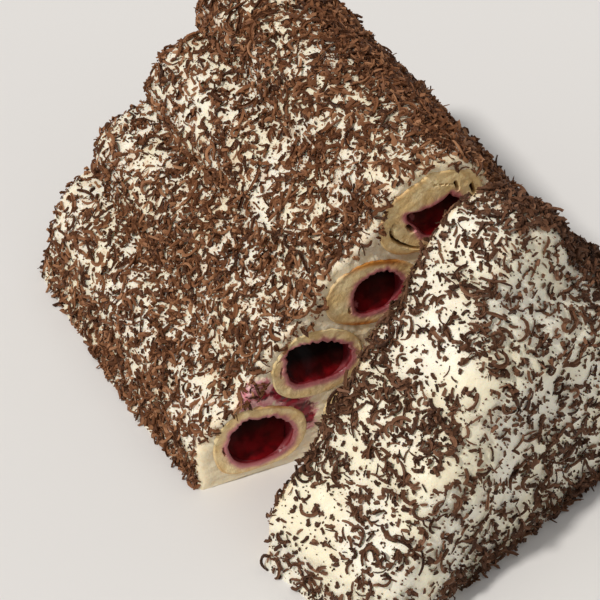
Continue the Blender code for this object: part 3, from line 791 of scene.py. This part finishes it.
cream = Finish("sour cream", Subsurface_Weight=0.25, Subsurface_Scale=0.0022, Roughness=0.42)
cream.shader.inputs["Subsurface Radius"].default_value = (1.0, 0.8, 0.55)
WHITE, WARM_WHITE = tint(250, 245, 227), tint(246, 238, 210)
DUST, DUST_AND_SHADE, CUT_WARM_TINT = tint(130, 90, 62), tint(206, 160, 112), tint(242, 212, 162)
PINK, ROSE, JUICE, DARK_JUICE = tint(240, 176, 186), tint(212, 92, 124), tint(158, 16, 48), tint(84, 6, 24)
white = cream.mix(cream.patches(0.35, 0.65, 0.022, 2), WHITE, WARM_WHITE)
dust_on = cream.mark("dusted")
dust = cream.between(cream.noise(0.0011, 3, 0.7) + dust_on * 0.11, 0.66, 0.72)
white = cream.mix(dust * 0.8, white, DUST)
# Where chocolate lies thick the cream is browner in patches: partly chocolate dust, partly painted shade
# among the shavings
white = cream.mix(cream.patches(0.46, 0.66, 0.0036, 4) * dust_on * 0.38, white, DUST_AND_SHADE)
# The cream at the cut, which lies in shade, is tinted warmer and a little darker in patches
crumbs = cream.patches(0.4, 0.7, 0.0028, 4, 0.6) * 0.3 + 0.25
white = cream.mix(cream.mark("sliced") * crumbs, white, CUT_WARM_TINT)


def spot_share(finish, spots):
    """How much of a colour has run in at places on the back piece's cut."""
    share = 0.0
    wobble = finish.noise(0.0035, 4, 0.6) * 1.6
    for (across, up), spread in spots:
        spot = CAKE_MOVE @ Vector((across, back_cut(across), up))
        away = finish.node("VectorMath", {"operation": "DISTANCE"}, {0: finish.place, 1: spot}, output=1)
        share = finish.between(away * (1 / spread) + wobble, 1.75, 1.35) + share
    return finish.node("Clamp", None, {0: share})


haze = cream.mix(cream.patches(0.38, 0.62, 0.0024, 4), PINK, ROSE)
white = cream.mix(spot_share(cream, PINK_SPOTS) * 0.85, white, haze)
juice = cream.mix(cream.patches(0.4, 0.6, 0.003), JUICE, DARK_JUICE)
white = cream.mix(spot_share(cream, DARK_SPOTS), white, juice)
cream.set("Base Color", white)
cream.bump(cream.noise(0.005, 4, 0.55) + cream.noise(0.0016, 2) * 0.25, 0.0009, 0.7)


def trim_to_back_piece(bm):
    """Takes off what would reach into the back piece at the foot where the two still touch."""
    turned = math.pi / 2 - CUT_SLANT - FRONT_TURN
    normal = Vector((math.cos(turned), math.sin(turned), 0))
    on_plane = Vector((RIGHT_BASE, float(front_cut(RIGHT_BASE)), 0))
    geometry = [*bm.verts, *bm.edges, *bm.faces]
    cut = bmesh.ops.bisect_plane(bm, geom=geometry, plane_co=on_plane, plane_no=normal, clear_outer=True)
    edges = [item for item in cut["geom_cut"] if isinstance(item, bmesh.types.BMEdge)]
    bmesh.ops.holes_fill(bm, edges=edges)
    bmesh.ops.recalc_face_normals(bm, faces=bm.faces)


def skin_of(bm):
    """Corner points and triangles of a mesh, as arrays."""
    bm.verts.index_update()
    triangles = [[loop.vert.index for loop in triangle] for triangle in bm.calc_loop_triangles()]
    return np.array([vert.co for vert in bm.verts]), np.array(triangles)


skins = {}
for name, piece in PIECES.items():
    spread = wrapped(cream_rings(piece))
    if name == "front":
        trim_to_back_piece(spread)
    skins[name] = skin_of(spread)
    bm = carved(bare(f"body_{name}", spread), bare(f"tubes_{name}", tube_cutters(name)))
    set_down(f"sour_cream_{name}", bm, piece["place"], cream.material, f"cream_{name}")

# ------------------------------------------------------------------------------ shaved chocolate
# Dark chocolate shaved off a bar with a peeler and strewn over the wet cream: long curls, short
# bent shavings, chips, and the crumbs that break off them. It lies thickest at the foot, on the
# ridge and down the right side, and only its crumbs lie on the cut.


def unit_shape(form, long_cuts=0, wide_cuts=0):
    """A unit block, ridge or low spike, cut across its length and width: its points and faces."""
    bm = bmesh.new()
    if form == "block":
        bmesh.ops.create_cube(bm, size=1)
    elif form == "ridge":
        bmesh.ops.create_cone(bm, segments=3, radius1=0.5, radius2=0.5, depth=1, cap_ends=True)
        # Laid lengthwise on one flat side, in a box of length, width and height 1
        laid = Matrix(((0, 0, 1, 0), (2 / math.sqrt(3), 0, 0, 0), (0, 4 / 3, 0, -1 / 6), (0, 0, 0, 1)))
        bmesh.ops.transform(bm, matrix=laid, verts=bm.verts)
    else:
        bmesh.ops.create_cone(bm, segments=5, radius1=0.5, radius2=0, depth=1, cap_ends=True)
    for axis, cuts in ((0, long_cuts), (1, wide_cuts)):
        ends = [edge for edge in bm.edges if abs(edge.verts[0].co[axis] - edge.verts[1].co[axis]) > 0.5]
        if cuts:
            bmesh.ops.subdivide_edges(bm, edges=ends, cuts=cuts, use_grid_fill=True)
    bmesh.ops.triangulate(bm, faces=bm.faces)
    bm.verts.index_update()
    points = np.array([vert.co for vert in bm.verts])
    faces = [[vert.index for vert in face.verts] for face in bm.faces]
    bm.free()
    return points, faces


# Each kind's shape, size and thickness; how far it bends sideways and arches up; the spreads of its
# twist, lean, tilt and ragged edges; how it tapers and hollows; and how many lie on each piece
KINDS = {
    "curls": {
        "unit": unit_shape("block", 7, 1), "long": (0.0062, 0.0120), "wide": (0.0009, 0.0015),
        "thick": 0.00050, "bend": (0.8, 4.2), "arch": (-0.05, 0.15), "twist": 0.8, "lean": 0.7,
        "tilt": 0.22, "ragged": 0.15, "taper": 0.25, "hollow": 0.38, "back": 980, "front": 320,
    },
    "small_curls": {
        "unit": unit_shape("block", 4, 1), "long": (0.0036, 0.0070), "wide": (0.0008, 0.0015),
        "thick": 0.00048, "bend": (0.5, 3.2), "arch": (-0.05, 0.18), "twist": 0.7, "lean": 0.7,
        "tilt": 0.28, "ragged": 0.16, "taper": 0.25, "hollow": 0.38, "back": 1500, "front": 560,
    },
    "shavings": {
        "unit": unit_shape("ridge", 3), "long": (0.0026, 0.0052), "wide": (0.0010, 0.0017),
        "thick": 0.00064, "bend": (0.1, 1.5), "arch": (-0.02, 0.2), "twist": 0.6, "lean": 0.5,
        "tilt": 0.34, "ragged": 0.2, "taper": 0.14, "hollow": 0.0, "back": 5500, "front": 1380,
    },
    "slivers": {
        "unit": unit_shape("ridge", 2), "long": (0.0024, 0.0054), "wide": (0.0004, 0.0009),
        "thick": 0.00044, "bend": (0.1, 1.6), "arch": (-0.02, 0.16), "twist": 0.7, "lean": 0.4,
        "tilt": 0.36, "ragged": 0.18, "taper": 0.25, "hollow": 0.0, "back": 6950, "front": 1040,
    },
    "chips": {
        "unit": unit_shape("ridge", 1), "long": (0.0012, 0.0029), "wide": (0.0009, 0.0017),
        "thick": 0.00080, "bend": (0.1, 0.8), "arch": (0.0, 0.16), "twist": 0.3, "lean": 0.35,
        "tilt": 0.38, "ragged": 0.24, "taper": 0.08, "hollow": 0.0, "back": 8500, "front": 3150,
    },
    "crumbs": {
        "unit": unit_shape("spike"), "long": (0.0005, 0.0014), "wide": (0.0004, 0.0010),
        "thick": 0.00064, "bend": (0.05, 0.1), "arch": (0.0, 0.0), "twist": 0.0, "lean": 0.2,
        "tilt": 0.3, "ragged": 0.2, "taper": 0.0, "hollow": 0.0, "back": 16400, "front": 7000,
    },
}
# A shaving rests on the heap under its middle and, if it is long enough, its ends. It sinks into
# the heap a little, raises it, and stands more steeply on a deep one
UNDER_REACH, UNDER_ENDS, PACKING, DEEPEST = 0.34, 0.0011, 0.62, 0.0030
RISE, LIFT = (1.5, 0.12), (0.6, 0.10)  # shares of its thickness and of its width
UPRIGHT, TAPER_POWER, END_THICK, SHARP_EDGES = 500.0, 2.2, 0.45, 38
# Each piece of the cake has its own half of the ramp of browns; the end piece's darker half is painted shade
TONES = {"back": (0.5, 1.0), "front": (0.0, 0.49)}
# How far past the solids, or clear of the floor, a shaving may lie: lowest and highest corner
SPARE = ((-0.0045, -0.0055, 0.0002), (0.0045, 0.0055, 0.0011))

# How thickly chocolate lies, where 1 nearly hides the cream. A pair named TO_ or ALONG_ says from
# where to where a change eases in. First come the cut, the left side and the foot of both pieces
RIM_CRUMBS, TO_RIM, FACE_BARE = 0.7, (0.0090, 0.0020), 0.022
TUBE_CLEAR = np.array((TUBE_WIDE, TUBE_HIGH)) / 2 + 0.0010
LEFT_COVER, FOOT_COVER = {"back": 0.98, "front": 0.46}, {"back": 1.0, "front": 0.6}
LEFT_FOOT, RIGHT_FOOT_MORE, TO_FOOT = 0.4, 0.5, (0.020, 0.004)
TO_RIGHT, UNDERSIDE = (-0.006, 0.007), -0.35
# The back piece: thinner at the far end and low down, a thick spot, the right side and the ridge
THIN_FAR, TO_FAR, THIN_LOW, TO_LOW = 0.26, (0.05, 0.12), 0.14, (0.045, 0.025)
SPOT_MORE, SPOT_AT, SPOT_SPREAD = 0.16, (0.082, 0.052), (0.036, 0.018)
RIGHT_COVER, TO_BACK_RIGHT = 1.4, (-0.010, 0.008)
CREST_MORE, TO_CREST = 0.7, (HEIGHT * 0.45, HEIGHT * 0.92)
RIDGE_MORE, TO_RIDGE, ALONG_RIDGE = 0.4, (HEIGHT * 0.78, HEIGHT * 0.97), (0.035, 0.1)
# The end piece: its closed end, right side, what has spilt along its cut, and its bare left foot
THIN_END, TO_END, FRONT_RIGHT_MORE = 0.20, (0.5, 0.85), 0.95
SPILT_MORE, TO_SPILT_LOW, TO_SPILT_HIGH, TO_CUT = 0.85, (0.036, 0.046), (0.106, 0.094), (0.010, 0.001)
THIN_CORNER, TO_CORNER, TO_CORNER_LOW = 0.7, (-0.045, -0.075), (0.046, 0.020)
# Patches as layers of noise, how much they even out on the right side, and the limits of the cover
PATCHES = {
    "back": ((0.5, 0.018, 195.59), (0.55, 0.0065, 68.71)),
    "front": ((0.85, 0.014, 138.25), (0.6, 0.006, 201.69)),
}
EVEN_RIGHT, BAREST_PATCH, COVER_LEAST, COVER_MOST = 0.7, 0.08, 0.03, 2.4
SLICED_DEEP = (0.0040, 0.0022)


def eased(value, low, high):
    part = np.clip((value - low) / (high - low), 0, 1)
    return part * part * (3 - 2 * part)


def crumbs_on_face(piece, flat):
    """How thickly crumbs lie at points of a cut: near its rim, off the tubes and above the foot."""
    rim = spread_foot(piece, cream_outline(piece["furrow"][0])[:OVER_POINTS], 0)
    off_rim = np.hypot(*(flat[:, None] - rim).T).min(axis=0)
    off_tube = [np.hypot(*((flat - middle) / TUBE_CLEAR).T) for _, _, *middle in tube_places()]
    return RIM_CRUMBS * eased(off_rim, *TO_RIM) * (np.min(off_tube, axis=0) > 1) * (flat[:, 1] > FACE_BARE)


def thickness_of_cover(name, points, normals):
    """How thickly chocolate lies at points of the cake's own frame, from 0 to about 3."""
    piece = PIECES[name]
    across, along, up = points.T
    from_cut = piece["way"] * (along - piece["cut"](across))
    facing = np.flatnonzero(from_cut < FACE_DEEP)
    on_face = np.zeros(len(points))
    on_face[facing] = crumbs_on_face(piece, points[facing][:, [0, 2]])
    right = eased(across, *TO_RIGHT)
    foot = eased(up, *TO_FOOT) * (LEFT_FOOT + RIGHT_FOOT_MORE * right) * FOOT_COVER[name]
    cover = LEFT_COVER[name]
    if name == "back":
        cover = cover - THIN_FAR * (1 - right) * eased(from_cut, *TO_FAR) - THIN_LOW * eased(up, *TO_LOW)
        off_along, off_up = (along - SPOT_AT[0]) / SPOT_SPREAD[0], (up - SPOT_AT[1]) / SPOT_SPREAD[1]
        cover = cover + SPOT_MORE * np.exp(-(off_along**2) - off_up**2)
        thick = RIGHT_COVER + CREST_MORE * eased(up, *TO_CREST)
        cover = np.maximum(cover, right * eased(from_cut, *TO_BACK_RIGHT) * thick)
        cover = cover + RIDGE_MORE * eased(up, *TO_RIDGE) * eased(from_cut, *ALONG_RIDGE)
    else:
        ends = eased(-normals[:, 1], *TO_END)
        cover = cover - THIN_END * ends + right * (1 - ends) * FRONT_RIGHT_MORE
        spilt = eased(up, *TO_SPILT_LOW) * eased(up, *TO_SPILT_HIGH) * eased(from_cut, *TO_CUT)
        cover = cover + SPILT_MORE * spilt * (1 - right)
        cover = cover * (1 - THIN_CORNER * eased(across, *TO_CORNER) * eased(up, *TO_CORNER_LOW))
    patches = clouds(points, PATCHES[name], level=1)
    patches = patches + (1 - patches) * EVEN_RIGHT * right
    cover = np.clip(cover * np.maximum(BAREST_PATCH, patches), COVER_LEAST, COVER_MOST) + foot
    return (cover * (from_cut >= FACE_DEEP) + on_face) * (normals[:, 2] > UNDERSIDE)


def strewn(name, heaps):
    """Places every shaving of one piece of the cake, on the cream or on those already there."""
    piece, (corners, triangles) = PIECES[name], skins[name]
    a, b, c = (corners[triangles[:, k]] for k in range(3))
    cross = np.cross(b - a, c - a)
    area = np.linalg.norm(cross, axis=1)
    normals = cross / np.maximum(area, 1e-12)[:, None]
    centres = (a + b + c) / 3
    weight = area * thickness_of_cover(name, centres, normals)
    draw = np.random.default_rng(SEED + len(name))
    tree = kdtree.KDTree(len(corners))
    for index, point in enumerate(corners):
        tree.insert(point, index)
    tree.balance()
    heaped = np.zeros(len(corners))
    lots = []
    for kind, rule in KINDS.items():
        count = rule[name]
        picks = draw.choice(len(area), count, p=weight / weight.sum())
        mixed = draw.dirichlet((1, 1, 1), count)
        spots = a[picks] * mixed[:, :1] + b[picks] * mixed[:, 1:2] + c[picks] * mixed[:, 2:]
        long, wide = (draw.uniform(*rule[size], count) for size in ("long", "wide"))
        bearing = draw.uniform(0, math.tau, count)
        lots.append({
            "kind": kind, "spot": spots, "out": normals[picks], "long": long, "wide": wide,
            "bearing": bearing, "bend": draw.uniform(*rule["bend"], count) * draw.choice((-1, 1), count),
            "arch": draw.uniform(*rule["arch"], count), "twist": draw.normal(0, rule["twist"], count),
            "lean": draw.normal(0, rule["lean"], count), "tilt": draw.normal(0, rule["tilt"], (count, 2)),
            "tone": draw.uniform(*TONES[name], count), "base": np.zeros(count),
            "ragged": draw.normal(0, rule["ragged"], (count, len(rule["unit"][0]))),
        })
    order = [(lot, index) for lot in range(len(lots)) for index in range(len(lots[lot]["spot"]))]
    draw.shuffle(order)
    for lot, index in order:
        stack_one(tree, heaped, lots[lot], index)
    for lot in lots:
        heaps[lot["kind"]].append(shaped(lot, piece))


def axes_of(out, bearing):
    """Two directions along the surface and the one out of it, for each shaving."""
    aside = np.where(np.abs(out[:, 2:]) < 0.9, (0.0, 0.0, 1.0), (1.0, 0.0, 0.0))
    first = np.cross(aside, out)
    first /= np.linalg.norm(first, axis=1)[:, None]
    second = np.cross(out, first)
    turn, swing = np.cos(bearing)[:, None], np.sin(bearing)[:, None]
    return first * turn + second * swing, second * turn - first * swing, out


def stack_one(tree, heaped, lot, index):
    """Rests one shaving on the heap under it and raises the heap by its thickness."""
    rule = KINDS[lot["kind"]]
    along, _, _ = axes_of(lot["out"][index : index + 1], lot["bearing"][index : index + 1])
    reach = lot["long"][index] * UNDER_REACH
    shares = (-1, 0, 1) if reach > UNDER_ENDS else (0,)
    under = [tree.find(lot["spot"][index] + along[0] * share * reach)[1] for share in shares]
    base = min(DEEPEST, float(np.mean(heaped[under])) * PACKING)
    lot["base"][index] = base
    rise = rule["thick"] * RISE[0] + lot["wide"][index] * RISE[1]
    for vert in under:
        heaped[vert] = max(heaped[vert], base + rise)


def shaped(lot, piece):
    """The points of every shaving of one kind on one piece of the cake, as count x points x 3."""
    rule = KINDS[lot["kind"]]
    share, side, level = rule["unit"][0].T
    long, wide, bend, lean, twist, base, arch = (
        lot[key][:, None] for key in ("long", "wide", "bend", "lean", "twist", "base", "arch")
    )
    narrow = 1 - rule["taper"] * np.abs(2 * share) ** TAPER_POWER
    flat = side * wide * narrow * (1 + lot["ragged"])
    thick = level * rule["thick"] * (END_THICK + (1 - END_THICK) * narrow)
    thick = thick + rule["hollow"] * wide * (2 * side) ** 2 * narrow
    roll = lean + twist * share
    sideways = flat * np.cos(roll) - thick * np.sin(roll)
    upward = flat * np.sin(roll) + thick * np.cos(roll)
    angle, radius = share * bend, long / bend
    x = np.sin(angle) * radius - np.sin(angle) * sideways
    y = (1 - np.cos(angle)) * radius + np.cos(angle) * sideways
    y = y - ((1 - np.cos(bend / 2)) * radius) / 2
    z = upward - arch * long * ((2 * share) ** 2 - 0.5)
    tilt = lot["tilt"] * (1 + UPRIGHT * base)
    z = z + tilt[:, :1] * x + tilt[:, 1:] * y
    z = z + (base + rule["thick"] * LIFT[0] + wide * LIFT[1])
    along, aside, out = (axis[:, None] for axis in axes_of(lot["out"], lot["bearing"]))
    points = x[..., None] * along + y[..., None] * aside + z[..., None] * out + lot["spot"][:, None]
    placed = points @ np.array(piece["place"].to_3x3()).T + np.array(piece["place"].translation)
    lowest, highest = np.array(solid_box) + SPARE
    short = np.maximum(0, lowest - placed.min(axis=1))
    past = np.maximum(0, placed.max(axis=1) - highest)
    return placed + (short - past)[:, None], lot["tone"]


def joined(name, kind, heaps, finish):
    """One mesh of all the shavings of a kind."""
    points = np.concatenate([placed for placed, _ in heaps])
    tones = np.concatenate([tone for _, tone in heaps])
    count, corners, _ = points.shape
    faces = np.array(KINDS[kind]["unit"][1])
    every = (faces[None] + (np.arange(count) * corners)[:, None, None]).reshape(-1, faces.shape[1])
    mesh = bpy.data.meshes.new(name)
    mesh.from_pydata(points.reshape(-1, 3), [], every)
    tone = mesh.attributes.new("tone", "FLOAT", "POINT")
    tone.data.foreach_set("value", np.repeat(tones, corners).astype(np.float32))
    served(name, mesh, finish, SHARP_EDGES)


chocolate = Finish("dark chocolate", Specular_IOR_Level=0.15)
# Painted shade: the end piece's browns are darker than the back piece's, as if shaded
SHADED_FRONT_BROWNS = (
    (0.0, tint(48, 28, 18)), (0.22, tint(84, 54, 37)), (0.40, tint(106, 72, 52)), (0.495, tint(130, 93, 70)),
)
BACK_BROWNS = (
    (0.50, tint(54, 29, 15)), (0.70, tint(98, 59, 35)), (0.88, tint(134, 89, 59)), (1.0, tint(170, 124, 90)),
)
STREAK = tint(152, 114, 88)
brown = chocolate.ramp(chocolate.mark("tone"), *SHADED_FRONT_BROWNS, *BACK_BROWNS)
brown = chocolate.mix(chocolate.patches(0.52, 0.68, 0.0005, 3) * 0.4, brown, STREAK)
chocolate.set("Base Color", brown)
chocolate.set("Roughness", 0.42 + chocolate.noise(0.002) * 0.25)
chocolate.bump(chocolate.noise(0.0009, 2), 0.0003, 0.5)


def dusted(name):
    """Marks on the cream how thickly chocolate dust lies, and where the cake is sliced."""
    mesh = bpy.data.objects[f"sour_cream_{name}"].data
    points, normals = np.empty((2, len(mesh.vertices) * 3), np.float32)
    mesh.vertices.foreach_get("co", points)
    mesh.vertices.foreach_get("normal", normals)
    back_to_piece = PIECES[name]["place"].inverted()
    turn, move = np.array(back_to_piece.to_3x3()), np.array(back_to_piece.translation)
    points, normals = points.reshape(-1, 3) @ turn.T + move, normals.reshape(-1, 3) @ turn.T
    from_cut = PIECES[name]["way"] * (points[:, 1] - PIECES[name]["cut"](points[:, 0]))
    dust = np.minimum(1, thickness_of_cover(name, points, normals))
    for label, values in (("dusted", dust), ("sliced", eased(from_cut, *SLICED_DEEP))):
        mark = mesh.attributes.new(label, "FLOAT", "POINT")
        mark.data.foreach_set("value", values.astype(np.float32))


heaps = {kind: [] for kind in KINDS}
for name in PIECES:
    strewn(name, heaps)
    dusted(name)
for kind in KINDS:
    joined(f"chocolate_{kind}", kind, heaps[kind], chocolate.material)

# ------------------------------------------------------------------------------ floor and light
# A plain pale floor under the cake, one soft key light from the upper left and a bright even room.

FLOOR_HALF, FLOOR_GREYS = 3.0, (tint(226, 226, 226), tint(232, 232, 231))
KEY_FROM, KEY_LIGHT, KEY_SOFT = Vector((-0.75, -0.09, 1.0)), 2.1, math.radians(5)
KEY_COLOUR, ROOM_COLOUR, ROOM_LIGHT = (1.0, 0.95, 0.895), (1.0, 0.975, 0.95, 1), 0.46

floor_mesh = bmesh.new()
bmesh.ops.create_grid(floor_mesh, x_segments=1, y_segments=1, size=FLOOR_HALF)
floor = bare("floor", floor_mesh)
ground = Finish("floor", Roughness=0.6)
ground.set("Base Color", ground.mix(ground.noise(0.4, 2), *FLOOR_GREYS))
floor.data.materials.append(ground.material)

key = bpy.data.objects.new("key", bpy.data.lights.new("key", "SUN"))
key.data.energy, key.data.angle, key.data.color = KEY_LIGHT, KEY_SOFT, KEY_COLOUR
key.matrix_world = KEY_FROM.to_track_quat("Z", "Y").to_matrix().to_4x4()
bpy.context.scene.collection.objects.link(key)

room = bpy.data.worlds.new("room")
room.use_nodes = True
room.node_tree.nodes["Background"].inputs["Color"].default_value = ROOM_COLOUR
room.node_tree.nodes["Background"].inputs["Strength"].default_value = ROOM_LIGHT
bpy.context.scene.world = room
bpy.context.scene.view_settings.view_transform = "Standard"

# ------------------------------------------------------------------------------ camera
# The cake is seen from above its near left corner, over the end piece and along the cut.

CAMERA_TURN, CAMERA_RISE, CAMERA_ROLL = math.radians(-28.0), math.radians(43.7), math.radians(-0.4)
CAMERA_AWAY, CAMERA_LENS, SENSOR = 0.8754, 132.0, 36.0
LOOK_AT = CAKE_MOVE @ Vector((-0.0100, 0.0805, 0.0))
back = Vector((
    math.sin(CAMERA_TURN) * math.cos(CAMERA_RISE),
    -math.cos(CAMERA_TURN) * math.cos(CAMERA_RISE),
    math.sin(CAMERA_RISE),
))
camera = bpy.data.objects.new("camera", bpy.data.cameras.new("camera"))
camera.data.lens, camera.data.sensor_width = CAMERA_LENS, SENSOR
camera.matrix_world = (
    Matrix.Translation(LOOK_AT + back * CAMERA_AWAY)
    @ back.to_track_quat("Z", "Y").to_matrix().to_4x4()
    @ Matrix.Rotation(CAMERA_ROLL, 4, "Z")
)
bpy.context.scene.collection.objects.link(camera)
bpy.context.scene.camera = camera
